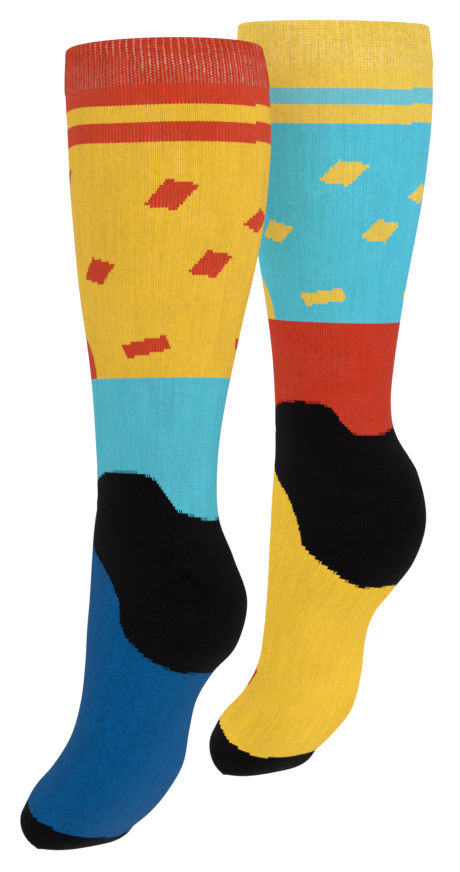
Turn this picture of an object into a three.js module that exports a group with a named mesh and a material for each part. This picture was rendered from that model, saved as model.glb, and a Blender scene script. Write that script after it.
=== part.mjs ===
import * as THREE from "three";

// A pair of knee-high knitted socks, both held in their worn shape: an open cuff, a round calf, a slim
// ankle, a deep heel pocket and a foot that points down, closed at the toes.
// Millimetres, +Z up. The origin is the centre of the near sock's cuff opening.
// In a sock's own frame +X is the way its toes point, +Y its left side and +Z up the leg.

// Knit
const WALL = 1.6;               // thickness of the knitted wall
const PART_GAP = 0.3;           // between one knitted part and the next
const NEEDLES = 168;            // stitches round the leg
const RIB_RAISE = 0.5;          // height of a cuff rib over the groove beside it
const SIDES = NEEDLES / 4;      // points round a plain part

// Rim of the cuff
const RIM_ROUND = 0.8;          // rounding of the folded rim
const RIM_IN = 1.2;             // how far the elastic pulls the rim in
const RIM_HEIGHT = 3;           // height of the stretch that it pulls in

// Rows between the two edges of a part
const ROWS = { cuff: 2, leg: 7, heel: 7, foot: 6, toe: 5 };

// Sections down a sock. Each is an oval between a point on the front line and a point on the back line.
// Columns: front x, front z, back x, back z, half of the width, roundness (2 is an ellipse, more is squarer)
const NEAR_SECTIONS = [
  [63, -1, -62, 1, 58, 2],                // 0 rim of the cuff
  [63.5, -26, -67, -22.5, 60, 2],         // 1 foot of the cuff
  [61.5, -62.5, -68.5, -60, 60, 2],       // 2 widest calf
  [59, -104.5, -65.5, -102.5, 57.5, 2],   // 3 middle of the calf
  [55.5, -146, -57.5, -143, 52, 2],       // 4 lower calf
  [50, -187, -47.7, -185, 44.5, 2],       // 5 shin
  [46, -226, -38.5, -226, 38.5, 2],       // 6 above the ankle
  [44, -262, -33.7, -264, 35.5, 2],       // 7 ankle
  [44.5, -286, -34.5, -296, 35, 2],       // 8 below the ankle
  [47.5, -306, -46, -321, 34.5, 2],       // 9 top of the heel
  [49.5, -324, -56.5, -348, 34.5, 2],     // 10 back of the heel
  [50.5, -343, -48.5, -376, 35.5, 2],     // 11 under the heel
  [51, -364, -30.5, -394, 37.5, 2],       // 12 end of the heel
  [50.5, -386, -17, -413, 40, 2],         // 13 arch
  [51.5, -409, -9, -434, 43, 2.1],        // 14 middle of the foot
  [57, -431, -3, -455, 45.5, 2.2],        // 15 ball of the foot
  [69, -450, 8, -472, 46, 2.3],           // 16 root of the toes
  [83, -465, 20, -485, 44, 2.5],          // 17 toes
  [92, -480, 35, -496, 40, 2.8],          // 18 last section, which rounds in to the closing line
];
const FAR_SECTIONS = [
  [65, 2, -63.5, 0, 59, 2],
  [66, -26, -67, -28, 60, 2],
  [63, -64, -66, -65, 60, 2],
  [58, -106, -61, -108, 56, 2],
  [51.5, -146, -53.5, -149, 49.5, 2],
  [46, -184, -46.7, -187, 43, 2],
  [41.5, -221, -41.3, -223, 38, 2],
  [40, -248, -39.5, -250, 36, 2],
  [41, -266, -44.5, -270, 35, 2],
  [42.5, -284, -63, -295, 34.5, 2],
  [44.5, -303, -70.5, -325, 34.5, 2],
  [45.5, -323, -61, -352, 35.5, 2],
  [45, -346, -41, -374, 37.5, 2],
  [43, -370, -24, -391, 40, 2],
  [41.5, -395, -12, -411, 43, 2.1],
  [44, -419, -6, -436, 45.5, 2.2],
  [57, -440, 1, -459, 46, 2.3],
  [75, -457, 14, -475, 43.5, 2.5],
  [86, -472, 30, -489, 38, 2.8],
];

// The seam that closes the toes: middle of the line and half of its length
const NEAR_TIP = { x: 74, z: -505, halfWidth: 32 };
const FAR_TIP = { x: 68.5, z: -500, halfWidth: 31 };
const TIP_TURN = THREE.MathUtils.degToRad(86);   // how far the round end turns before it is closed

// Where one knitted part ends and the next begins, the same on both sides of a sock.
// Columns: share of the way round from the back line (0) to the front line (0.5), place in the sections
const NEAR_EDGES = {
  cuffFoot: [[0, 1.15], [0.5, 1.15]],
  heelTop: [
    [0, 8.05], [0.07, 7.97], [0.115, 7.87], [0.14, 7.66], [0.165, 7.39],
    [0.19, 7.19], [0.25, 7.12], [0.34, 7.16], [0.42, 7.42], [0.5, 7.6],
  ],
  heelEnd: [
    [0, 11.91], [0.1, 12], [0.16, 11.94], [0.2, 11.8], [0.24, 11.6], [0.26, 11.47], [0.28, 11.2],
    [0.295, 10.65], [0.33, 10.1], [0.365, 9.73], [0.41, 9.36], [0.46, 9.1], [0.5, 9],
  ],
  toe: [[0, 18.1], [0.1, 18.07], [0.2, 18.07], [0.26, 18], [0.35, 17.6], [0.42, 17.3], [0.5, 17.15]],
};
const FAR_EDGES = {
  cuffFoot: [[0, 1.04], [0.5, 1.04]],
  heelTop: [
    [0, 7.96], [0.05, 8.03], [0.09, 8], [0.115, 7.9], [0.135, 7.66], [0.15, 7.28],
    [0.165, 7.01], [0.19, 6.92], [0.26, 6.89], [0.34, 6.97], [0.42, 7.3], [0.5, 7.55],
  ],
  heelEnd: [
    [0, 11.8], [0.08, 11.88], [0.16, 11.85], [0.21, 11.7], [0.25, 11.45], [0.28, 11.1],
    [0.3, 10.5], [0.33, 10.05], [0.365, 9.75], [0.41, 9.45], [0.46, 9.15], [0.5, 9],
  ],
  toe: [[0, 18], [0.1, 18], [0.2, 17.9], [0.27, 17.7], [0.34, 17.4], [0.42, 17.1], [0.5, 17]],
};

// Each sock's place: middle of its cuff opening, the way its toes point, and how far its foot swings
// away from the front of the pair
const NEAR_PLACE = { at: [0, 0, 0], heading: 61, swing: 0 };
const FAR_PLACE = { at: [110, 100, 26], heading: 52, swing: 3.5 };

// Smooth value between the rows of one column
function columnAt(sections, column, place) {
  const last = sections.length - 1;
  const row = Math.min(Math.floor(place), last - 1);
  const t = place - row;
  const p1 = sections[row][column];
  const p2 = sections[row + 1][column];
  const p0 = row > 0 ? sections[row - 1][column] : 2 * p1 - p2;
  const p3 = row < last - 1 ? sections[row + 2][column] : 2 * p2 - p1;
  const bend = 2 * p0 - 5 * p1 + 4 * p2 - p3;
  const turn = 3 * p1 - p0 - 3 * p2 + p3;
  return 0.5 * (2 * p1 + (p2 - p0) * t + bend * t * t + turn * t * t * t);
}

// Point of the outer surface. Past the last section the oval rounds in to the closing line.
function surfacePoint(sock, around, place) {
  const last = sock.sections.length - 1;
  const along = Math.min(place, last);
  const [frontX, frontZ, backX, backZ, width, roundness] = [0, 1, 2, 3, 4, 5].map(
    (column) => columnAt(sock.sections, column, along),
  );
  const turn = Math.max(place - last, 0) * TIP_TURN;
  const middleX = THREE.MathUtils.lerp((frontX + backX) / 2, sock.tip.x, Math.sin(turn));
  const middleZ = THREE.MathUtils.lerp((frontZ + backZ) / 2, sock.tip.z, Math.sin(turn));
  const halfWidth = THREE.MathUtils.lerp(sock.tip.halfWidth, width, Math.cos(turn));
  const angle = 2 * Math.PI * around;
  const power = 2 / roundness;
  const forward = -Math.sign(Math.cos(angle)) * Math.abs(Math.cos(angle)) ** power * Math.cos(turn);
  const sideways = Math.sign(Math.sin(angle)) * Math.abs(Math.sin(angle)) ** power;
  return new THREE.Vector3(
    middleX + forward * (frontX - backX) / 2,
    sideways * halfWidth,
    middleZ + forward * (frontZ - backZ) / 2,
  );
}

// Outward normal and the direction down the sock at a point of the surface
function surfaceFrame(sock, around, place) {
  const step = 1e-3;
  const end = sock.sections.length;
  const round = surfacePoint(sock, around + step, place).sub(surfacePoint(sock, around - step, place));
  const up = surfacePoint(sock, around, Math.max(place - step, 0));
  const down = surfacePoint(sock, around, Math.min(place + step, end)).sub(up).normalize();
  const normal = new THREE.Vector3().crossVectors(round, down).normalize();
  return { normal, down };
}

// Straight lines between the points of an edge table, mirrored on the sock's other side
function edgePlace(edge, around) {
  const share = Math.min(around, 1 - around);
  const next = Math.max(edge.findIndex(([at]) => at >= share), 1);
  const [fromShare, fromPlace] = edge[next - 1];
  const [toShare, toPlace] = edge[next];
  return THREE.MathUtils.mapLinear(share, fromShare, toShare, fromPlace, toPlace);
}

// How far a part stops short of its edge line, measured down the sock, so that the gap across a slanted
// edge stays the same
function edgeSetback(sock, edge, around) {
  const step = 0.01;
  const before = surfacePoint(sock, around - step, edgePlace(edge, Math.abs(around - step)));
  const after = surfacePoint(sock, around + step, edgePlace(edge, Math.min(around + step, 1)));
  const { down } = surfaceFrame(sock, around, edgePlace(edge, around));
  const along = after.sub(before).normalize();
  const slant = Math.abs(along.dot(down));
  return PART_GAP / 2 / Math.sqrt(Math.max(1 - slant * slant, 0.1));
}

// One ring of points, depth under the outer surface, moved down the sock by shift
function ring(sock, count, placeAt, { depth = 0, shift = () => 0, raise = () => 0 } = {}) {
  return Array.from({ length: count }, (_, i) => {
    const around = i / count;
    const place = placeAt(around);
    const { normal, down } = surfaceFrame(sock, around, place);
    const point = surfacePoint(sock, around, place);
    return point.addScaledVector(normal, raise(i) - depth).addScaledVector(down, shift(around));
  });
}

// Triangles between each ring and the next, and between the last and the first when the wall is a loop
function joinRings(rings, isLoop) {
  const count = rings[0].length;
  const triangles = [];
  const bands = isLoop ? rings.length : rings.length - 1;
  for (let band = 0; band < bands; band++) {
    const upper = band * count;
    const lower = ((band + 1) % rings.length) * count;
    for (let i = 0; i < count; i++) {
      const j = (i + 1) % count;
      triangles.push([upper + i, upper + j, lower + i]);
      triangles.push([upper + j, lower + j, lower + i]);
    }
  }
  return triangles;
}

// Triangles that close a flat ring from its front half to its back half
function closeRing(start, count, isFacingDown) {
  const half = count / 2;
  const quarter = Math.floor(half / 2);
  const triangles = [];
  for (let i = quarter; i > quarter - half + 1; i--) {
    const corners = [i - 1, i, half - i, half - i + 1].map((k) => start + ((k + count) % count));
    const [a, b, c, d] = isFacingDown ? corners : [...corners].reverse();
    triangles.push([a, b, c], [a, c, d]);
  }
  return triangles;
}

function meshFrom(name, rings, triangles, material) {
  const positions = rings.flat().flatMap((point) => point.toArray());
  const geometry = new THREE.BufferGeometry();
  geometry.setAttribute("position", new THREE.Float32BufferAttribute(positions, 3));
  geometry.setIndex(triangles.flat());
  geometry.computeVertexNormals();
  const mesh = new THREE.Mesh(geometry, material);
  mesh.name = name;
  return mesh;
}

// Rings from one edge to the other, the first and last set back from their edge lines
function partRings(sock, count, rows, topEdge, endEdge, depth) {
  return Array.from({ length: rows + 1 }, (_, row) => {
    const placeAt = (around) => THREE.MathUtils.lerp(
      edgePlace(topEdge, around), edgePlace(endEdge, around), row / rows,
    );
    const shift = (around) => {
      if (row === 0) return edgeSetback(sock, topEdge, around);
      if (row === rows) return -edgeSetback(sock, endEdge, around);
      return 0;
    };
    return ring(sock, count, placeAt, { depth, shift });
  });
}

// A plain knitted tube, open at both edges
function plainPart(sock, name, rows, topEdge, endEdge, color) {
  const outer = partRings(sock, SIDES, rows, topEdge, endEdge, 0);
  const inner = partRings(sock, SIDES, rows, topEdge, endEdge, WALL);
  const rings = [...outer, ...inner.reverse()];
  return meshFrom(name, rings, joinRings(rings, true), knit(color));
}

// The toe, open where the foot joins it and closed at the other end
function toePart(sock, name, color) {
  const { toe } = sock.edges;
  const last = sock.sections.length;
  const end = [[0, last], [0.5, last]];
  const rows = ROWS.toe;
  const halfRing = (depth) => Array.from({ length: rows + 1 }, (_, row) => {
    const placeAt = (around) => THREE.MathUtils.lerp(edgePlace(toe, around), edgePlace(end, around), row / rows);
    const shift = (around) => (row === 0 ? edgeSetback(sock, toe, around) : 0);
    return ring(sock, SIDES, placeAt, { depth, shift });
  });
  const rings = [...halfRing(WALL).reverse(), ...halfRing(0)];
  const triangles = [
    ...closeRing(0, SIDES, false),
    ...joinRings(rings, false),
    ...closeRing((rings.length - 1) * SIDES, SIDES, true),
  ];
  return meshFrom(name, rings, triangles, knit(color));
}

// The ribbed cuff: ribs stand on the outside, the inside is plain, the rim is a rounded fold that turns in
function cuffPart(sock, name, color) {
  const { cuffFoot } = sock.edges;
  const rib = (i) => (i % 2 === 0 ? RIB_RAISE : 0);
  const halfRib = (i) => rib(i) / 2;
  const pulledIn = (distance) => RIM_IN * (1 - distance / RIM_HEIGHT) ** 2;
  const belowRim = (distance, depth, raise) => ring(sock, NEEDLES, () => 0, {
    depth: depth + pulledIn(distance),
    shift: () => distance,
    raise,
  });
  const atFoot = (around) => edgePlace(cuffFoot, around);
  const setback = (around) => -edgeSetback(sock, cuffFoot, around);
  const middle = () => cuffFoot[0][1] / 2;
  const rings = [
    ring(sock, NEEDLES, () => 0, { depth: WALL / 2 + pulledIn(RIM_ROUND) }),
    belowRim(RIM_ROUND, 0, halfRib),
    belowRim(RIM_HEIGHT / 2, 0, rib),
    belowRim(RIM_HEIGHT, 0, rib),
    ring(sock, NEEDLES, middle, { raise: rib }),
    ring(sock, NEEDLES, atFoot, { shift: setback, raise: halfRib }),
    ring(sock, NEEDLES, atFoot, { shift: setback, depth: WALL }),
    belowRim(RIM_HEIGHT, WALL),
    belowRim(RIM_ROUND, WALL),
  ];
  return meshFrom(name, rings, joinRings(rings, true), knit(color));
}

function knit(color) {
  return new THREE.MeshStandardMaterial({ color, roughness: 0.9, metalness: 0 });
}

function buildSock(prefix, sock, place, colors) {
  const { cuffFoot, heelTop, heelEnd, toe } = sock.edges;
  const group = new THREE.Group();
  group.add(
    cuffPart(sock, `${prefix}_cuff`, colors.cuff),
    plainPart(sock, `${prefix}_leg`, ROWS.leg, cuffFoot, heelTop, colors.leg),
    plainPart(sock, `${prefix}_heel`, ROWS.heel, heelTop, heelEnd, colors.heel),
    plainPart(sock, `${prefix}_foot`, ROWS.foot, heelEnd, toe, colors.foot),
    toePart(sock, `${prefix}_toe`, colors.heel),
  );
  const quarterTurn = Math.PI / 2;
  const { degToRad } = THREE.MathUtils;
  group.rotation.set(degToRad(place.swing), 0, quarterTurn + degToRad(place.heading), "XYZ");
  group.position.set(...place.at);
  return group;
}

const NEAR_COLORS = { cuff: "#c7432d", leg: "#e3b73f", heel: "#111013", foot: "#0b5788" };
const FAR_COLORS = { cuff: "#e9c550", leg: "#51b9c9", heel: "#111013", foot: "#e8bd3e" };

const NEAR_SOCK = { sections: NEAR_SECTIONS, edges: NEAR_EDGES, tip: NEAR_TIP };
const FAR_SOCK = { sections: FAR_SECTIONS, edges: FAR_EDGES, tip: FAR_TIP };
const socks = new THREE.Group();
socks.add(
  buildSock("near_sock", NEAR_SOCK, NEAR_PLACE, NEAR_COLORS),
  buildSock("far_sock", FAR_SOCK, FAR_PLACE, FAR_COLORS),
);

export default socks;
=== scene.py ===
import math

import bpy
import numpy as np
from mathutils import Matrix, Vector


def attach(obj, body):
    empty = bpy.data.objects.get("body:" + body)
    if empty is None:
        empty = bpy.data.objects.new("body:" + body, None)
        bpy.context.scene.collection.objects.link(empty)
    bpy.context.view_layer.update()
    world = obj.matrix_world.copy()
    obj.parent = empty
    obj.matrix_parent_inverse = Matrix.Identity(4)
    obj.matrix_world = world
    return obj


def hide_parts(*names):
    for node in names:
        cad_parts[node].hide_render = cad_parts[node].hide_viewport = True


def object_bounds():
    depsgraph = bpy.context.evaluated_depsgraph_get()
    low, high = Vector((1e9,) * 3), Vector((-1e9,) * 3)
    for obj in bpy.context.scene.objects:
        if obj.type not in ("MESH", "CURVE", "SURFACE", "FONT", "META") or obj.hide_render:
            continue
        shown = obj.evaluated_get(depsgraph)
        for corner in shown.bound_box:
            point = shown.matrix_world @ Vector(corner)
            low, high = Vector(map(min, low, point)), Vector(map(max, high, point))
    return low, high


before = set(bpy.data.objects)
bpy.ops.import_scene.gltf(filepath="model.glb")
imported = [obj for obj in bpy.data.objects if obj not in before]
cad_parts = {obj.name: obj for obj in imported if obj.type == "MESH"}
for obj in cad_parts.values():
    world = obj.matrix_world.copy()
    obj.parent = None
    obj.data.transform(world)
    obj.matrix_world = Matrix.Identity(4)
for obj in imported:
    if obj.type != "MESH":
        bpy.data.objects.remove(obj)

cad_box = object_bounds()

# Millimetres in all the tables here, metres in the meshes
MM = 0.001

# Camera: level, far off, aimed as the photograph was taken
PHOTO_WIDTH, PHOTO_HEIGHT = 460, 872      # pixels
NEAR_CUFF_PIXEL = (164.3, 48.0)           # where the middle of the near cuff's opening shows
NEAR_SCALE = 0.63                         # millimetres to a pixel at the near sock
CAMERA_DISTANCE = 2145.0
SENSOR = 36.0

# Knit
NEEDLES = 168             # stitches round the leg, each a wale
LEGS = 2                  # mesh columns to a wale, one for each leg of its stitches
COLUMNS = NEEDLES * LEGS
COURSE = 1.75             # height of one row of stitches
WALL = 1.6                # thickness of the knitted wall
SEAM_RAISE = 0.6          # height of the seam that closes the toes
SEAM_WIDTH = 1.6
TIP_TURN = math.radians(86)               # how far the toe's end turns in to its closing line
SHARP_EDGE = math.radians(55)             # a bend of the wall from here on is shaded as an edge

# Ribbed cuff
RIBS = NEEDLES // 2
RIB_PROFILE = [0.9, 1, 0.6, 0, 0.6, 1]    # shares of the rib's height at even steps across it
RIB_RAISE = 0.5           # height of a cuff rib over the groove beside it
RIM_ROUND = WALL / 2      # rounding of the folded rim
RIM_IN = 1.2              # how far the elastic pulls the rim in
RIM_HEIGHT = 3            # height of the stretch that it pulls in
RIM_STEP = 0.6            # height of the mesh's rows there, outside and inside
RIM_INNER_STEP = 0.8
NEAR_CUFF_END = 1.15      # place in the sections where the ribs end
FAR_CUFF_END = 1.04

# How each sock stands. Tip: x and z of the middle of the closing line at the toes, and half of its width.
# At: middle of the rim. Heading and swing: degrees that the toes point away from the viewer, and that the
# sock leans back.
NEAR_STANCE = {"tip": (74, -505, 32), "at": (0, 0, 0), "heading": 61, "swing": 0}
FAR_STANCE = {"tip": (68.5, -500, 31), "at": (110, 100, 26), "heading": 52, "swing": 3.5}

# Sections down a sock. Each is an oval between a point on the front line and a point on the back line.
# Columns: front x, front z, back x, back z, half of the width, roundness (2 is an ellipse, more is squarer)
NEAR_SECTIONS = [
    [63, -1, -62, 1, 58, 2],                # 0 rim of the cuff
    [63.5, -26, -67, -22.5, 60, 2],         # 1 foot of the cuff
    [61.5, -62.5, -68.5, -60, 60, 2],       # 2 widest calf
    [59, -104.5, -65.5, -102.5, 57.5, 2],   # 3 middle of the calf
    [55.5, -146, -57.5, -143, 52, 2],       # 4 lower calf
    [50, -187, -47.7, -185, 44.5, 2],       # 5 shin
    [46, -226, -38.5, -226, 38.5, 2],       # 6 above the ankle
    [44, -262, -33.7, -264, 35.5, 2],       # 7 ankle
    [44.5, -286, -34.5, -296, 35, 2],       # 8 below the ankle
    [47.5, -306, -46, -321, 34.5, 2],       # 9 top of the heel
    [49.5, -324, -56.5, -348, 34.5, 2],     # 10 back of the heel
    [50.5, -343, -48.5, -376, 35.5, 2],     # 11 under the heel
    [51, -364, -30.5, -394, 37.5, 2],       # 12 end of the heel
    [50.5, -386, -17, -413, 40, 2],         # 13 arch
    [51.5, -409, -9, -434, 43, 2.1],        # 14 middle of the foot
    [57, -431, -3, -455, 45.5, 2.2],        # 15 ball of the foot
    [69, -450, 8, -472, 46, 2.3],           # 16 root of the toes
    [83, -465, 20, -485, 44, 2.5],          # 17 toes
    [92, -480, 35, -496, 40, 2.8],          # 18 last section, which rounds in to the closing line
]
FAR_SECTIONS = [
    [65, 2, -63.5, 0, 59, 2],
    [66, -26, -67, -28, 60, 2],
    [63, -64, -66, -65, 60, 2],
    [58, -106, -61, -108, 56, 2],
    [51.5, -146, -53.5, -149, 49.5, 2],
    [46, -184, -46.7, -187, 43, 2],
    [41.5, -221, -41.3, -223, 38, 2],
    [40, -248, -39.5, -250, 36, 2],
    [41, -266, -44.5, -270, 35, 2],
    [42.5, -284, -63, -295, 34.5, 2],
    [44.5, -303, -70.5, -325, 34.5, 2],
    [45.5, -323, -61, -352, 35.5, 2],
    [45, -346, -41, -374, 37.5, 2],
    [43, -370, -24, -391, 40, 2],
    [41.5, -395, -12, -411, 43, 2.1],
    [44, -419, -6, -436, 45.5, 2.2],
    [57, -440, 1, -459, 46, 2.3],
    [75, -457, 14, -475, 43.5, 2.5],
    [86, -472, 30, -489, 38, 2.8],
]

# Where one knitted part ends and the next begins. A table that starts at 0 is the same on both sides.
# Columns: share of the way round from the back line (0) over the left side to the front line (0.5), or over
# the right side to -0.5; place in the sections
NEAR_EDGES = {
    "heel_top": [
        [0, 8.05], [0.07, 7.95], [0.115, 7.87], [0.14, 7.66], [0.167, 7.32],
        [0.19, 7.17], [0.25, 7.1], [0.34, 7.15], [0.42, 7.42], [0.5, 7.6],
    ],
    "heel_end": [
        [0, 11.91], [0.1, 12], [0.16, 11.94], [0.2, 11.8], [0.24, 11.6], [0.26, 11.47], [0.28, 11.2],
        [0.295, 10.65], [0.33, 10.1], [0.365, 9.73], [0.41, 9.36], [0.46, 9.1], [0.5, 9],
    ],
    "toe": [[0, 18.1], [0.1, 18.07], [0.2, 18.07], [0.26, 18], [0.35, 17.6], [0.42, 17.3], [0.5, 17.15]],
}
FAR_EDGES = {
    "heel_top": [
        [-0.5, 7.55], [-0.42, 7.3], [-0.34, 6.97], [-0.26, 6.89], [-0.19, 6.91], [-0.165, 7.02],
        [-0.148, 7.26], [-0.125, 7.55], [-0.09, 7.7], [-0.05, 7.74], [-0.02, 7.79], [0.01, 7.88],
        [0.05, 7.94], [0.1, 7.93], [0.118, 7.85], [0.133, 7.58], [0.148, 7.26],
        [0.165, 7.03], [0.19, 6.91], [0.26, 6.87], [0.34, 6.97], [0.42, 7.3], [0.5, 7.55],
    ],
    "heel_end": [
        [0, 11.69], [0.09, 11.83], [0.15, 11.7], [0.17, 11.6], [0.21, 11.47], [0.25, 11.31],
        [0.27, 11.17], [0.29, 10.7], [0.33, 10.05], [0.365, 9.76], [0.41, 9.44], [0.46, 9.15], [0.5, 9],
    ],
    "toe": [
        [0, 17.8], [0.06, 17.82], [0.14, 17.92], [0.2, 17.87], [0.25, 17.75], [0.29, 17.45],
        [0.35, 17.25], [0.42, 17.05], [0.5, 16.95],
    ],
}
TOOTH = 0.4               # share of a row that the middle of a stitch lies lower than its sides, as a V
HEEL_TEETH = 0.6          # rows by which the legs of the stitches differ at the heel's edges
TOOTH_TAPER = 4           # rows over which that dies out at the cuff and at the toe seam

# Yarn colours, 0 to 255
RED = (201, 60, 32)
DEEP_RED = (196, 50, 23)
YELLOW = (233, 185, 53)
TURQUOISE = (80, 185, 203)
BLACK = (6, 4, 6)
BLUE = (0, 83, 138)
PALE_YELLOW = (230, 195, 77)
CLEAR_YELLOW = (243, 195, 54)
CLEAR_TURQUOISE = (78, 190, 213)
PALE_TURQUOISE = (108, 193, 206)
ELASTIC = (232, 216, 206)
LINING = (196, 186, 176)
LINING_SHARE = 0.4        # how much of it shows on the inner face

# Bands down the leg: place in the sections where each begins, and its colour
NEAR_BANDS = [(0, RED), (1.52, YELLOW), (1.78, RED), (2.07, YELLOW), (5.55, TURQUOISE)]
FAR_BANDS = [
    (0, PALE_YELLOW), (1.43, PALE_TURQUOISE), (1.7, PALE_YELLOW), (2.02, CLEAR_TURQUOISE), (5.22, DEEP_RED),
]
BAND_JOG = 1              # rows that a stripe climbs on its way round to where the yarn changes
JOG_WALE = 2              # wale where it changes
PULL_ROWS = 1.3           # rows that the stripes are pulled up at the outer side of the calf
PULL_WALE = 59            # wale in the middle of that stretch
PULL_WALES = 13           # wales from there to where most of the pull is gone
PULL_BEGINS = 5           # rows below the cuff where it is full
PULL_ENDS = (42, 75)      # rows over which it dies out again

# Small slanted blocks knitted into the leg, the same chart on both socks. Wales are counted from the back
# line over the left side. Columns: wale and row of the middle, wales and rows from the middle to the middle
# of one side, and to the middle of the next side
BLOCKS = [
    [28.2, 55.5, -4.5, 0.9, 3.1, 4.5],
    [-3.7, 63.8, -4.5, 1.4, 4.3, 3.15],
    [14.8, 80.1, -4.7, 0.85, 2.9, 4],
    [52, 81.2, -4.5, 1.5, 2.8, 3.5],
    [35, 109.1, -7.9, -1.5, -1.2, 2.45],
    [71.5, 48.5, -4.4, 1.2, 3, 4.2],
    [-13, 108, -7.4, -0.3, -1.2, 2.2],
    [96, 58, -4.6, -1.1, -2.8, 4],
    [122, 51, -4.4, 1.1, 3, 4.1],
    [143, 83, -4.5, -1.2, -2.6, 3.8],
    [76, 73, -4.6, 1, 2.8, 3.7],
    [110, 84, -7.3, 1.2, 1.2, 2.6],
    [128, 104, -4.5, 1.3, 2.8, 3.8],
    [89, 90.5, -4.4, 0.8, 3, 3.9],
]
FAR_CHART_TURN = -4.8     # wales that the far sock's chart is turned by
FAR_CHART_STAYS = 59.8    # row of the chart that is the same on both socks
FAR_CHART_STRETCH = 0.865 # rows of the far sock's chart to one of the near sock's

# A plain rounded patch on the front of the ankle, which stands on the band below the chart
PATCH_WALES = 24.5        # half of its width
PATCH_ROWS = 18.5
PATCH_POWER = 2.4         # 2 is half of an ellipse, more is squarer

# A small block on the far sock's instep, with the columns of the chart
INSTEP_BLOCK = [66, 257, -10.4, 1, 2.6, 4.1]

# Soft troughs, and ridges where the depth is below 0, that the cloth takes at the ankle, heel and toes.
# Columns: wale of the middle, row of the middle, rows that it drops a wale towards the front,
# half length in wales, half width in rows, depth in millimetres
NEAR_CREASES = [
    [25.5, 188, -0.5, 9, 1.2, 2.3],
    [25, 184.9, -0.45, 10, 1.8, -1],
    [34, 181.5, -0.5, 7, 1.6, 0.6],
    [44, 176, -0.3, 10, 2.2, 0.5],
    [138, 186, 0.4, 10, 1.6, 1.2],
    [139, 182.6, 0.4, 10, 2, -0.6],
    [124, 178, 0.3, 9, 2, 0.6],
    [84, 164, 0, 22, 2.4, 0.7],
    [80, 170.5, 0.05, 18, 2.2, 0.6],
    [88, 177, -0.05, 16, 2.4, 0.5],
    [40, 288, -0.1, 12, 1.5, 0.6],
    [126, 287, 0.1, 12, 1.5, 0.6],
]
FAR_CREASES = [
    [23, 172, 0, 13, 1.4, 2],
    [23, 168.6, 0.03, 13, 2.1, -0.9],
    [23, 175.3, -0.03, 12, 2, -0.5],
    [36, 178.5, -0.3, 9, 2, 0.6],
    [143, 171, 0, 14, 1.7, 1.3],
    [144, 167.4, 0, 14, 2.1, -0.7],
    [130, 177, 0.3, 9, 2, 0.6],
    [82, 155, 0, 22, 2.3, 0.7],
    [86, 161.5, 0.04, 18, 2.2, 0.6],
    [84, 168, 0, 15, 2.4, 0.5],
    [41, 294.5, 0.18, 14, 1.4, 1.1],
    [42, 291.2, 0.18, 14, 1.6, -0.5],
    [127, 294, -0.18, 13, 1.4, 0.9],
]
UNEVEN = 0.14             # height of the slight unevenness all over
UNEVEN_BEGINS = 6         # rows below the cuff over which it begins

# Looks of the knit. First the share of painted shade where the knit's relief is low, in the grooves
# between its wales and between the strokes of its stitches; then how far those strokes rise and fall from
# row to row. Then shares of lighter and darker yarn: stitch by stitch, in streaks down the wales and as
# fuzz. Then how much pale elastic shows, the gloss and the sheen.
PLAIN_LOOK = {
    "groove_shade": 0.38, "stroke": 0.2, "uneven": 0.08, "streaks": 0.25, "fuzz": 0.17,
    "pale": 0.13, "shine": 0.06, "sheen": 0.018,
}
# What some parts have other than that
NEAR_CUFF_LOOK = {"groove_shade": 0.4, "stroke": 0.4, "uneven": 0.2, "fuzz": 0.4, "pale": 0.62}
FAR_CUFF_LOOK = {"groove_shade": 0.3, "stroke": 0.4, "uneven": 0.12, "fuzz": 0.2, "pale": 0.55}
LEG_LOOK = {"fuzz": 0.22, "sheen": 0.035}
DARK_LOOK = {"groove_shade": 0.35, "uneven": 0.3, "streaks": 0.4, "pale": 0.01, "shine": 0.05, "sheen": 0.008}
BLUE_LOOK = {
    "groove_shade": 0.45, "uneven": 0.2, "streaks": 0.3, "fuzz": 0.7, "pale": 0.01, "shine": 0.03, "sheen": 0.03,
}
NEAR_SEED, FAR_SEED = 1.0, 2.0            # pick the stitches that are a little lighter or darker
WALE_POWER = 2.2          # how full a wale is: 1 is a ridge with straight sides, more is rounder
STROKE_SLANT = 1.3        # rows to a wale that the strokes of the stitches slant
ELASTIC_WANDER = 0.8      # wales between the elastic's furthest strays to one side and to the other
BUMP_STRENGTH = 0.55
BUMP_HEIGHT = 0.0004      # metres
ROUGHNESS = 0.95
SHEEN_ROUGHNESS = 0.55
DOTTED_ROWS = (3.0, 12.0) # rows of the cuff over which its pale dots close up
WIDE_AT = 25              # wale where the cuff is stretched widest, so that most elastic shows
WIDE_TURN = NEEDLES / 2   # wales from there to the next such wale

# Studio
FLOOR_DROP = 250          # floor below the lowest toe
FLOOR_RADIUS = 40000
FLOOR_SIDES = 64
FLOOR_PAINT = 0.98        # its three colours, 0 to 1
FLOOR_ROUGHNESS = 0.9
WORLD_LIGHT = 1.075
LAMP_SIZE = 1.6           # this and the places of the lamps are in metres
KEY_POWER = 15
KEY_AT = (2.2, -1.9, 0.3)
KEY_AIM = (0.04, 0.07, -0.24)
FILL_POWER = 17           # lights only the far sock, which the near one would shade
FILL_AT = (-1.6, -1.2, 0.1)
FILL_AIM = (0.11, 0.1, -0.24)


def linear(color):
    """A colour of 0 to 255 as a linear one of 0 to 1."""
    share = np.asarray(color, float) / 255
    return np.where(share <= 0.04045, share / 12.92, ((share + 0.055) / 1.055) ** 2.4)


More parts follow.
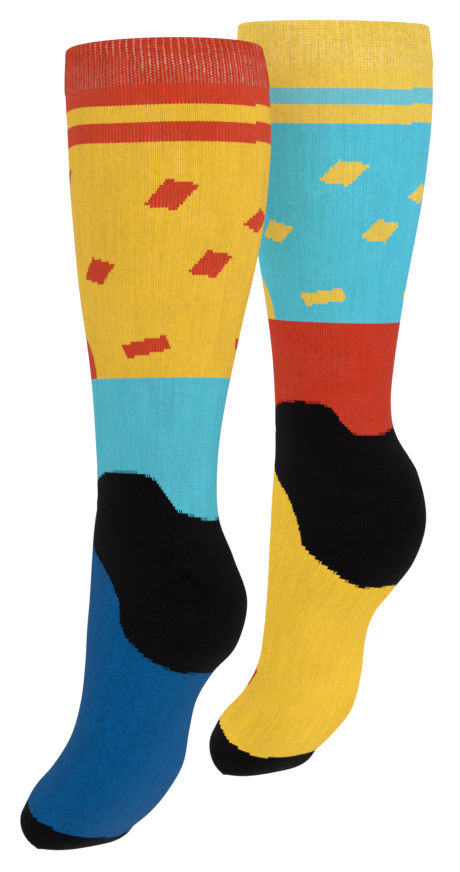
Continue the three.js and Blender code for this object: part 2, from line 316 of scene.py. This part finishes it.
def make_camera():
    data = bpy.data.cameras.new("camera")
    data.sensor_width = SENSOR
    data.lens = SENSOR * CAMERA_DISTANCE / NEAR_SCALE / PHOTO_HEIGHT
    data.clip_end = 100
    camera = bpy.data.objects.new("camera", data)
    across, down = NEAR_CUFF_PIXEL
    right = (PHOTO_WIDTH / 2 - across) * NEAR_SCALE
    below = (PHOTO_HEIGHT / 2 - down) * NEAR_SCALE
    camera.location = (right * MM, -CAMERA_DISTANCE * MM, -below * MM)
    camera.rotation_euler = (math.pi / 2, 0, 0)
    bpy.context.collection.objects.link(camera)
    bpy.context.scene.camera = camera


def smooth_columns(sections, place):
    """The columns of a table of sections at places between its rows."""
    last = len(sections) - 1
    place = np.clip(place, 0, last)
    row = np.minimum(place.astype(int), last - 1)
    t = (place - row)[..., None]
    before = 2 * sections[0] - sections[1]
    after = 2 * sections[-1] - sections[-2]
    rows = np.vstack([before, sections, after])
    p0, p1, p2, p3 = (rows[row + k] for k in range(4))
    bend = 2 * p0 - 5 * p1 + 4 * p2 - p3
    turn = 3 * p1 - p0 - 3 * p2 + p3
    return 0.5 * (2 * p1 + (p2 - p0) * t + bend * t**2 + turn * t**3)


class Sock:
    """The form of a sock in its own frame: +X the way its toes point, +Y its left side, +Z up the leg."""

    def __init__(self, sections, cuff_end, tip, at, heading, swing):
        self.sections = np.array(sections, float)
        self.cuff_end = cuff_end
        self.tip = tip
        self.at = np.array(at, float)
        self.last = len(sections) - 1
        self.end = self.last + 1
        turn = math.radians(90 + heading)
        lean = math.radians(swing)
        about_z = [[math.cos(turn), -math.sin(turn), 0], [math.sin(turn), math.cos(turn), 0], [0, 0, 1]]
        about_x = [[1, 0, 0], [0, math.cos(lean), -math.sin(lean)], [0, math.sin(lean), math.cos(lean)]]
        self.rotation = np.array(about_x) @ np.array(about_z)
        self.places = np.linspace(0, self.end, 600)
        rings = self.surface(np.linspace(0, 1, 97)[None, :], self.places[:, None])
        steps = np.linalg.norm(np.diff(rings, axis=0), axis=-1).mean(axis=1)
        self.lengths = np.concatenate([[0], np.cumsum(steps)])
        self.cuff_rows = round(float(self.length_at(cuff_end)) / COURSE)
        self.rows = round(self.lengths[-1] / COURSE)

    def surface(self, around, place):
        """Points of the outer surface. Past the last section the oval rounds in to the closing line."""
        around, place = np.broadcast_arrays(around, place)
        columns = smooth_columns(self.sections, place)
        front_x, front_z, back_x, back_z, width, roundness = np.moveaxis(columns, -1, 0)
        turn = np.clip(place - self.last, 0, 1) * TIP_TURN
        tip_x, tip_z, tip_width = self.tip
        middle_x = (front_x + back_x) / 2
        middle_z = (front_z + back_z) / 2
        middle_x = middle_x + (tip_x - middle_x) * np.sin(turn)
        middle_z = middle_z + (tip_z - middle_z) * np.sin(turn)
        half_width = tip_width + (width - tip_width) * np.cos(turn)
        angle = 2 * math.pi * around
        power = 2 / roundness
        forward = -np.sign(np.cos(angle)) * np.abs(np.cos(angle)) ** power * np.cos(turn)
        sideways = np.sign(np.sin(angle)) * np.abs(np.sin(angle)) ** power
        return np.stack([
            middle_x + forward * (front_x - back_x) / 2,
            sideways * half_width,
            middle_z + forward * (front_z - back_z) / 2,
        ], -1)

    def normal(self, around, place):
        step = 1e-3
        place = np.minimum(place, self.end - step)
        round_it = self.surface(around + step, place) - self.surface(around - step, place)
        down_it = self.surface(around, place + step) - self.surface(around, np.maximum(place - step, 0))
        normal = np.cross(round_it, down_it)
        return normal / np.linalg.norm(normal, axis=-1, keepdims=True)

    def place_at(self, length):
        """Place in the sections at a length down the sock."""
        return np.interp(length, self.lengths, self.places)

    def length_at(self, place):
        return np.interp(place, self.places, self.lengths)

    def in_frame(self, points):
        return (points @ self.rotation.T + self.at) * MM


def column_middles():
    """The wale coordinate in the middle of each column of the mesh."""
    return (np.arange(COLUMNS) + 0.5) / LEGS


def edge_rows(sock, edge, teeth=0):
    """The first row of stitches past an edge, for each column, with teeth of so many rows."""
    around = short_way(column_middles()) / NEEDLES
    shares, places = np.array(edge, float).T
    if shares[0] == 0:
        around = np.abs(around)
    lengths = sock.length_at(np.interp(around, shares, places))
    reach = teeth * (np.arange(COLUMNS) % LEGS - 0.5)
    return np.round(lengths / COURSE - TOOTH / 2 + reach).astype(int)


def band_colors(sock, bands):
    """Colours of all the stitches of a sock, in bands round it."""
    around = (column_middles() - JOG_WALE) / NEEDLES % 1
    jog = np.round(BAND_JOG * np.clip(2 * around - 1, 0, 1))
    course = np.arange(sock.rows)[:, None] + 0.5
    colors = np.zeros((sock.rows, COLUMNS, 3))
    for start, color in bands[:-1]:
        colors[sock.place_at((course + jog) * COURSE) >= start] = linear(color)
    last_start, last_color = bands[-1]
    colors[sock.place_at(course[:, 0] * COURSE) >= last_start] = linear(last_color)
    return colors


def last_band_row(sock, bands):
    """The row where the last band begins."""
    return round(float(sock.length_at(bands[-1][0])) / COURSE)


def plain_colors(sock, color):
    return np.zeros((sock.rows, COLUMNS, 3)) + linear(color)


def short_way(wales):
    """Wales counted the short way round."""
    return (wales + NEEDLES / 2) % NEEDLES - NEEDLES / 2


def stitches_from(colors, wale, row):
    """How many wales and rows each stitch lies from a point."""
    across = short_way(column_middles() - wale)
    down = np.arange(len(colors)) + 0.5 - row
    return across[None, :], down[:, None]


def add_block(colors, block, color):
    """Colours the stitches of a parallelogram."""
    wale, row, side_wales, side_rows, end_wales, end_rows = block
    across, down = stitches_from(colors, wale, row)
    size = side_wales * end_rows - side_rows * end_wales
    along_side = (across * end_rows - down * end_wales) / size
    along_end = (down * side_wales - across * side_rows) / size
    colors[(np.abs(along_side) < 1) & (np.abs(along_end) < 1)] = linear(color)


def far_block(wale, row, side_wales, side_rows, end_wales, end_rows):
    """A block of the chart as the far sock has it."""
    far_row = FAR_CHART_STAYS + (row - FAR_CHART_STAYS) * FAR_CHART_STRETCH
    side = (side_wales, side_rows * FAR_CHART_STRETCH)
    return (wale + FAR_CHART_TURN, far_row, *side, end_wales, end_rows * FAR_CHART_STRETCH)


def add_patch(colors, wale, foot_row, color):
    across, down = stitches_from(colors, wale, foot_row)
    reach = (np.abs(across) / PATCH_WALES) ** PATCH_POWER + (np.abs(down) / PATCH_ROWS) ** PATCH_POWER
    colors[(reach < 1) & (down < 0)] = linear(color)


def relief(sock, creases, wale, row):
    """How far the cloth stands out from its even form: slight waves all over, creases, and the toe seam."""
    angle = 2 * math.pi * wale / NEEDLES
    # Waves of unlike lengths, so that their sum shows no pattern
    out = UNEVEN * np.sin(3 * angle + row / 11) * np.sin(row / 19 + 2 * np.sin(angle))
    out += UNEVEN * 0.7 * np.sin(5 * angle - row / 7.3 + 1.7)
    out *= np.clip((row - sock.cuff_rows) / UNEVEN_BEGINS, 0, 1)
    for middle, course, slope, half_wales, half_rows, depth in creases:
        across = short_way(wale - middle)
        down = row - course - slope * across
        taper = np.clip(1 - (across / half_wales) ** 2, 0, 1) ** 1.5
        out -= depth * taper * np.exp(-((down / half_rows) ** 2))
    from_end = (sock.rows - row) * COURSE
    return out + SEAM_RAISE * np.exp(-((from_end / SEAM_WIDTH) ** 2))


def inside_color(colors):
    """The inner face shows less of the coloured yarn and more of the plain one behind it."""
    return (1 - LINING_SHARE) * colors + LINING_SHARE * linear(LINING)


def new_piece(name, vertices, faces, knit, colors):
    """A mesh piece whose face corners each have a knit coordinate (wale, row) and a yarn colour."""
    mesh = bpy.data.meshes.new(name)
    mesh.from_pydata(vertices.tolist(), [], faces)
    coordinates = mesh.uv_layers.new(name="knit")
    coordinates.uv.foreach_set("vector", np.ascontiguousarray(knit, np.float32).ravel())
    yarn = mesh.color_attributes.new("yarn", "FLOAT_COLOR", "CORNER")
    opaque = np.column_stack([colors, np.ones(len(colors))])
    yarn.data.foreach_set("color", opaque.astype(np.float32).ravel())
    mesh.polygons.foreach_set("use_smooth", np.ones(len(faces), bool))
    mesh.set_sharp_from_angle(angle=SHARP_EDGE)
    piece = bpy.data.objects.new(name, mesh)
    bpy.context.collection.objects.link(piece)
    return piece


def toe_seam():
    """Faces that close the last row of stitches, its front half to its back half, by column."""
    half, quarter = COLUMNS // 2, COLUMNS // 4
    first = [[quarter - 1, quarter, quarter + 1]]
    last = [[-quarter, 1 - quarter, half + quarter - 1]]
    between = [[k - 1, k, half - k, half - k + 1] for k in range(quarter - 1, 1 - quarter, -1)]
    return [[column % COLUMNS for column in face] for face in first + between + last]


def pulled_up(sock, wale, row):
    """How many rows the cloth is pulled up at the outer side of the calf."""
    fades, ends = PULL_ENDS
    strength = np.clip((row - sock.cuff_rows) / PULL_BEGINS, 0, 1)
    strength = strength * np.clip((ends - row) / (ends - fades), 0, 1)
    return PULL_ROWS * strength * np.exp(-((short_way(wale - PULL_WALE) / PULL_WALES) ** 2))


class Knit:
    """All the stitches of a sock: two quads for each on the outside, one for each leg, and two inside."""

    def __init__(self, sock, creases):
        self.sock = sock
        row, column = np.mgrid[0:sock.rows + 1, 0:COLUMNS]
        wale = column / LEGS
        around = wale / NEEDLES
        taper = np.clip(np.minimum(row - sock.cuff_rows, sock.rows - row) / TOOTH_TAPER, 0, 1)
        course = row + TOOTH * taper * (column % LEGS) - pulled_up(sock, wale, row)
        place = sock.place_at(course * sock.lengths[-1] / sock.rows)
        normal = sock.normal(around, place)
        outer = sock.surface(around, place) + normal * relief(sock, creases, wale, row)[..., None]
        self.outer = sock.in_frame(outer)
        self.inner = sock.in_frame(outer - normal * WALL)

    def part(self, name, tops, ends, colors):
        """The shell of the stitches from row tops[column] to row ends[column], closed round its edges."""
        rows = self.sock.rows
        all_rows = np.arange(rows + 1)[:, None]
        is_part = (all_rows >= tops) & (all_rows < ends)
        row, column = np.nonzero(is_part)
        corner_rows = np.stack([row, row, row + 1, row + 1], 1)
        corner_columns = np.stack([column, column + 1, column + 1, column], 1)
        corners = corner_rows * COLUMNS + corner_columns % COLUMNS
        used = np.unique(corners)
        index = np.full((rows + 1) * COLUMNS, -1)
        index[used] = np.arange(len(used))
        to_inner = len(used)

        outer = index[corners]
        knit = np.stack([corner_columns / LEGS, corner_rows], -1)
        color = np.repeat(colors[row, column][:, None, :], 4, axis=1)
        faces = [outer, outer[:, ::-1] + to_inner]
        face_knit = [knit, knit[:, ::-1]]
        face_color = [color, inside_color(color)]
        for down, across, first, second in ((-1, 0, 0, 1), (0, 1, 1, 2), (1, 0, 2, 3), (0, -1, 3, 0)):
            is_edge = ~is_part[np.maximum(row + down, 0), (column + across) % COLUMNS] | (row + down < 0)
            is_edge &= row + down < rows
            a, b = outer[is_edge, first], outer[is_edge, second]
            faces.append(np.stack([b, a, a + to_inner, b + to_inner], 1))
            face_knit.append(knit[is_edge][:, [second, first, first, second]])
            face_color.append(color[is_edge])
        faces = np.vstack(faces).tolist()
        face_knit = [corner_knit.reshape(-1, 2) for corner_knit in face_knit]
        face_color = [corner_color.reshape(-1, 3) for corner_color in face_color]
        if ends.max() == rows:
            seam = toe_seam()
            last_row = index[rows * COLUMNS:]
            faces += [[last_row[column] for column in face] for face in seam]
            faces += [[last_row[column] + to_inner for column in face[::-1]] for face in seam]
            outer_columns = np.array(sum(seam, []))
            inner_columns = np.array(sum([face[::-1] for face in seam], []))
            for seam_columns in (outer_columns, inner_columns):
                face_knit.append(np.column_stack([seam_columns / LEGS, np.full(len(seam_columns), rows)]))
                face_color.append(colors[-1, seam_columns])
        vertices = np.vstack([self.outer.reshape(-1, 3)[used], self.inner.reshape(-1, 3)[used]])
        piece = new_piece(name, vertices, faces, np.vstack(face_knit), np.vstack(face_color))
        return piece


def cuff_profile(sock):
    """Closed outline of a cuff's wall: distance below the rim, depth under the surface, share of rib."""
    foot = sock.cuff_rows * COURSE
    quarter = np.linspace(0, math.pi / 2, 5)
    over = [
        (RIM_ROUND * (1 - math.cos(turn)), RIM_ROUND * (1 - math.sin(turn)), math.sin(turn) / 2)
        for turn in quarter
    ]
    under = [(distance, WALL - depth, 0) for distance, depth, _ in over[:0:-1]]
    near_rim = np.arange(RIM_ROUND + RIM_STEP, RIM_HEIGHT, RIM_STEP)
    down = np.concatenate([near_rim, np.arange(RIM_HEIGHT, foot - COURSE, COURSE)])
    outside = [(distance, 0, 1) for distance in down] + [(foot - 0.7 * COURSE, 0, 0.6), (foot, 0, 0)]
    near_rim = np.arange(RIM_HEIGHT - RIM_INNER_STEP, RIM_ROUND + RIM_INNER_STEP / 2, -RIM_INNER_STEP)
    up = np.concatenate([np.linspace(foot, RIM_HEIGHT, 6), near_rim])
    inside = [(distance, WALL, 0) for distance in up]
    return np.array(over + outside + inside + under)


def make_cuff(name, sock, color):
    """The ribbed cuff: ribs stand on the outside, the inside is plain, the rim is a fold that turns in."""
    distance, depth, rib_share = cuff_profile(sock).T[..., None]
    count = RIBS * len(RIB_PROFILE)
    around = np.arange(count)[None, :] / count
    rib = RIB_RAISE * np.tile(RIB_PROFILE, RIBS)[None, :]
    pulled_in = RIM_IN * np.clip(1 - distance / RIM_HEIGHT, 0, 1) ** 2
    place = sock.place_at(distance)
    out = rib * rib_share - depth - pulled_in
    points = sock.surface(around, place) + sock.normal(around, place) * out[..., None]
    levels = len(distance)
    level, column = (index.ravel() for index in np.mgrid[0:levels, 0:count])
    below, after = (level + 1) % levels, (column + 1) % count
    corners = ((level, column), (level, after), (below, after), (below, column))
    faces = np.stack([corner_level * count + corner_column for corner_level, corner_column in corners], 1)
    rows = distance[:, 0] / COURSE
    wale = column * NEEDLES / count
    next_wale = (column + 1) * NEEDLES / count
    knit = np.stack([
        np.stack([wale, next_wale, next_wale, wale], 1),
        np.stack([rows[level], rows[level], rows[below], rows[below]], 1),
    ], -1)
    is_inside = (depth[level, 0] >= WALL) | (depth[below, 0] >= WALL)
    colors = np.where(is_inside[:, None], inside_color(linear(color)), linear(color))
    piece = new_piece(
        name,
        sock.in_frame(points).reshape(-1, 3),
        faces.tolist(),
        knit.reshape(-1, 2),
        np.repeat(colors, 4, axis=0),
    )
    ring = sock.surface(np.linspace(0, 1, 400), sock.cuff_end)
    return piece


class Nodes:
    """Short ways to add the nodes of one material."""

    def __init__(self, name):
        self.material = bpy.data.materials.new(name)
        self.material.use_nodes = True
        self.tree = self.material.node_tree
        self.shader = self.tree.nodes["Principled BSDF"]

    def add(self, kind, inputs=None, **settings):
        node = self.tree.nodes.new(kind)
        for setting, value in settings.items():
            setattr(node, setting, value)
        for socket, value in (inputs or {}).items():
            self.put(value, node.inputs[socket])
        return node

    def put(self, value, socket):
        if isinstance(value, bpy.types.NodeSocket):
            self.tree.links.new(value, socket)
        else:
            socket.default_value = value

    def math(self, operation, *values):
        return self.add("ShaderNodeMath", dict(enumerate(values)), operation=operation).outputs[0]

    def ramp(self, value, low, high, to_low=0.0, to_high=1.0):
        """A smooth step from to_low to to_high."""
        inputs = {"Value": value, "From Min": low, "From Max": high, "To Min": to_low, "To Max": to_high}
        return self.add("ShaderNodeMapRange", inputs, interpolation_type="SMOOTHSTEP").outputs[0]

    def noise(self, u, v, scale_u, scale_v, detail=2.0):
        """Noise of the knit coordinate, about -0.5 to 0.5."""
        place = {0: self.math("MULTIPLY", u, scale_u), 1: self.math("MULTIPLY", v, scale_v)}
        place = self.add("ShaderNodeCombineXYZ", place).outputs[0]
        noise = self.add("ShaderNodeTexNoise", {"Vector": place, "Scale": 1.0, "Detail": detail})
        return self.math("SUBTRACT", noise.outputs[0], 0.5)

    def sum_of(self, *values):
        total = values[0]
        for value in values[1:]:
            total = self.math("ADD", total, value)
        return total


def knit_material(name, seed, groove_shade, stroke, uneven, streaks, fuzz, pale, shine, sheen, is_ribbed):
    """Stocking-stitch knit, or the ribbed knit of a cuff. Pale elastic yarn shows in the grooves."""
    nodes = Nodes(name)
    knit = nodes.add("ShaderNodeUVMap", uv_map="knit").outputs[0]
    apart = nodes.add("ShaderNodeSeparateXYZ", {0: knit})
    u, v = apart.outputs[0], apart.outputs[1]

    # Each wale is a column of slanted strokes that meet in a V
    across = nodes.math("ABSOLUTE", nodes.math("SUBTRACT", nodes.math("FRACT", u), 0.5))
    leg = nodes.math("ABSOLUTE", nodes.math("MULTIPLY_ADD", across, 4.0, -1.0))
    column = nodes.math("SUBTRACT", 1.0, nodes.math("POWER", leg, WALE_POWER))
    slant = nodes.math("MULTIPLY_ADD", across, STROKE_SLANT, v)
    wave = nodes.math("SINE", nodes.math("MULTIPLY", slant, 2 * math.pi))
    height = nodes.math("MULTIPLY", column, nodes.math("MULTIPLY_ADD", wave, stroke, 1.0 - stroke))

    # Painted shade where the relief is low, in the grooves between the wales and between the strokes.
    # Then uneven yarn: stitch by stitch, in streaks down the wales, and in broad soft clouds
    cell = nodes.add("ShaderNodeCombineXYZ", {
        0: nodes.math("FLOOR", u), 1: nodes.math("FLOOR", v), 2: seed,
    })
    random = nodes.add("ShaderNodeTexWhiteNoise", {"Vector": cell.outputs[0]}, noise_dimensions="3D")
    stitch = nodes.math("SUBTRACT", random.outputs[0], 0.5)
    shade_and_tone = nodes.sum_of(
        # painted shade: the colour darkens where the relief is low, in the grooves and between the strokes
        nodes.math("MULTIPLY_ADD", height, groove_shade, 1.0 - groove_shade),
        nodes.math("MULTIPLY", stitch, uneven),
        nodes.math("MULTIPLY", nodes.noise(u, v, 0.9, 0.035), streaks),
        nodes.math("MULTIPLY", nodes.noise(u, v, 0.05, 0.05), streaks * 0.7),
        nodes.math("MULTIPLY", nodes.noise(u, v, 3.1, 3.7, detail=4.0), fuzz),
    )
    yarn = nodes.add("ShaderNodeAttribute", attribute_name="yarn").outputs["Color"]
    color = nodes.add("ShaderNodeVectorMath", {0: yarn, "Scale": shade_and_tone}, operation="SCALE").outputs[0]

    # Pale yarn in each groove, here more and there less, which wanders a little from side to side
    grooves = 0.5 if is_ribbed else 1.0
    wander = nodes.noise(u, v, 0.05, 0.2)
    bent = nodes.math("MULTIPLY_ADD", wander, ELASTIC_WANDER, u)
    phase = nodes.math("FRACT", nodes.math("MULTIPLY_ADD", bent, grooves, 1.0 - grooves))
    from_crest = nodes.math("ABSOLUTE", nodes.math("SUBTRACT", phase, 0.5))
    shows = nodes.ramp(nodes.noise(u, v, 0.035, 0.09), -0.16, 0.16, 0.3, 1.0)
    turn = 2 * math.pi / WIDE_TURN
    wide = nodes.math("COSINE", nodes.math("MULTIPLY_ADD", u, turn, -turn * WIDE_AT))
    shows = nodes.math("MULTIPLY", shows, nodes.math("MULTIPLY_ADD", wide, 0.38, 0.62))
    dots = nodes.math("COSINE", nodes.math("MULTIPLY", v, 2 * math.pi))
    beads = nodes.math("MULTIPLY_ADD", dots, 0.4, nodes.math("MULTIPLY_ADD", stitch, 0.6, 0.65))
    share = nodes.math("MULTIPLY", nodes.ramp(from_crest, 0.34, 0.47), nodes.math("MULTIPLY", beads, shows))
    if is_ribbed:
        # Near the cuff's foot it also shows between those grooves, half a stitch out of step with them
        between = nodes.math("MULTIPLY", nodes.ramp(from_crest, 0.12, 0.03), nodes.ramp(v, *DOTTED_ROWS))
        beads = nodes.math("MULTIPLY_ADD", dots, -0.3, 0.2)
        share = nodes.math("ADD", share, nodes.math("MULTIPLY", between, beads))
    share = nodes.math("MAXIMUM", nodes.math("MULTIPLY", share, pale), 0.0)
    color = nodes.add(
        "ShaderNodeMix", {0: share, 6: color, 7: (*linear(ELASTIC), 1.0)}, data_type="RGBA",
    ).outputs[2]

    bump = {"Height": height, "Strength": BUMP_STRENGTH, "Distance": BUMP_HEIGHT}
    bump = nodes.add("ShaderNodeBump", bump).outputs[0]
    nodes.put(color, nodes.shader.inputs["Base Color"])
    nodes.put(bump, nodes.shader.inputs["Normal"])
    nodes.shader.inputs["Roughness"].default_value = ROUGHNESS
    nodes.shader.inputs["Specular IOR Level"].default_value = shine
    nodes.shader.inputs["Sheen Weight"].default_value = sheen
    nodes.shader.inputs["Sheen Roughness"].default_value = SHEEN_ROUGHNESS
    return nodes.material


def finish_piece(piece, node, material):
    piece.data.materials.append(material)
    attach(piece, "root")
    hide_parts(node)


def make_sock(side, sock, edges, creases, seed, cuff, leg_colors, foot):
    """The five pieces of a sock. The cuff and the foot each come as their colours and their look."""
    cuff_color, cuff_look = cuff
    foot_colors, foot_look = foot
    knit = Knit(sock, creases)
    top = np.full(COLUMNS, sock.cuff_rows)
    heel_top = edge_rows(sock, edges["heel_top"], HEEL_TEETH)
    heel_end = edge_rows(sock, edges["heel_end"], HEEL_TEETH / 2)
    toe = edge_rows(sock, edges["toe"])
    end = np.full(COLUMNS, sock.rows)
    black = plain_colors(sock, BLACK)
    parts = {
        "cuff": (make_cuff(f"{side}_cuff", sock, cuff_color), cuff_look),
        "leg": (knit.part(f"{side}_leg", top, heel_top, leg_colors), LEG_LOOK),
        "heel": (knit.part(f"{side}_heel", heel_top, heel_end, black), DARK_LOOK),
        "foot": (knit.part(f"{side}_foot", heel_end, toe, foot_colors), foot_look),
        "toe": (knit.part(f"{side}_toe", toe, end, black), DARK_LOOK),
    }
    for part, (piece, look) in parts.items():
        look = {**PLAIN_LOOK, **look, "is_ribbed": part == "cuff"}
        material = knit_material(f"{side}_{part}_knit", seed, **look)
        finish_piece(piece, f"{side}_sock_{part}", material)
    return [piece for piece, _ in parts.values()]


def make_near_sock():
    sock = Sock(NEAR_SECTIONS, NEAR_CUFF_END, **NEAR_STANCE)
    leg = band_colors(sock, NEAR_BANDS)
    for block in BLOCKS:
        add_block(leg, block, RED)
    add_patch(leg, NEEDLES / 2, last_band_row(sock, NEAR_BANDS), RED)
    cuff = (RED, NEAR_CUFF_LOOK)
    foot = (plain_colors(sock, BLUE), BLUE_LOOK)
    return make_sock("near", sock, NEAR_EDGES, NEAR_CREASES, NEAR_SEED, cuff, leg, foot)


def make_far_sock():
    sock = Sock(FAR_SECTIONS, FAR_CUFF_END, **FAR_STANCE)
    leg = band_colors(sock, FAR_BANDS)
    for block in BLOCKS:
        add_block(leg, far_block(*block), PALE_YELLOW)
    add_patch(leg, NEEDLES / 2 + FAR_CHART_TURN, last_band_row(sock, FAR_BANDS), PALE_YELLOW)
    cuff = (PALE_YELLOW, FAR_CUFF_LOOK)
    instep = plain_colors(sock, CLEAR_YELLOW)
    add_block(instep, INSTEP_BLOCK, RED)
    foot = (instep, {})
    return make_sock("far", sock, FAR_EDGES, FAR_CREASES, FAR_SEED, cuff, leg, foot)


def add_lamp(name, power, at, aim):
    """A large soft lamp that faces a point."""
    data = bpy.data.lights.new(name, "AREA")
    data.energy = power
    data.size = LAMP_SIZE
    lamp = bpy.data.objects.new(name, data)
    lamp.location = at
    x, y, z = (end - start for end, start in zip(aim, at))
    lamp.rotation_euler = (math.atan2(math.hypot(x, y), -z), 0, math.atan2(-x, y))
    bpy.context.collection.objects.link(lamp)
    return lamp


def make_studio(far_pieces):
    """A pale floor under the toes, even white light all round and two large soft lamps."""
    low = cad_box[0][2] - FLOOR_DROP * MM
    mesh = bpy.data.meshes.new("floor")
    radius = FLOOR_RADIUS * MM
    angles = np.linspace(0, 2 * math.pi, FLOOR_SIDES, endpoint=False)
    corners = [(math.cos(angle) * radius, math.sin(angle) * radius, low) for angle in angles]
    mesh.from_pydata(corners, [], [list(range(FLOOR_SIDES))])
    floor = bpy.data.objects.new("floor", mesh)
    bpy.context.collection.objects.link(floor)
    nodes = Nodes("floor_paint")
    nodes.shader.inputs["Base Color"].default_value = (FLOOR_PAINT, FLOOR_PAINT, FLOOR_PAINT, 1)
    nodes.shader.inputs["Roughness"].default_value = FLOOR_ROUGHNESS
    nodes.shader.inputs["Specular IOR Level"].default_value = 0.0
    mesh.materials.append(nodes.material)

    world = bpy.data.worlds.new("studio")
    world.use_nodes = True
    world.node_tree.nodes["Background"].inputs["Color"].default_value = (1, 1, 1, 1)
    world.node_tree.nodes["Background"].inputs["Strength"].default_value = WORLD_LIGHT
    bpy.context.scene.world = world

    add_lamp("key", KEY_POWER, KEY_AT, KEY_AIM)
    fill = add_lamp("fill", FILL_POWER, FILL_AT, FILL_AIM)
    lit = bpy.data.collections.new("far_sock")
    for piece in far_pieces:
        lit.objects.link(piece)
    fill.light_linking.receiver_collection = lit
    fill.light_linking.blocker_collection = lit
    bpy.context.scene.view_settings.view_transform = "Standard"


make_camera()
make_near_sock()
make_studio(make_far_sock())
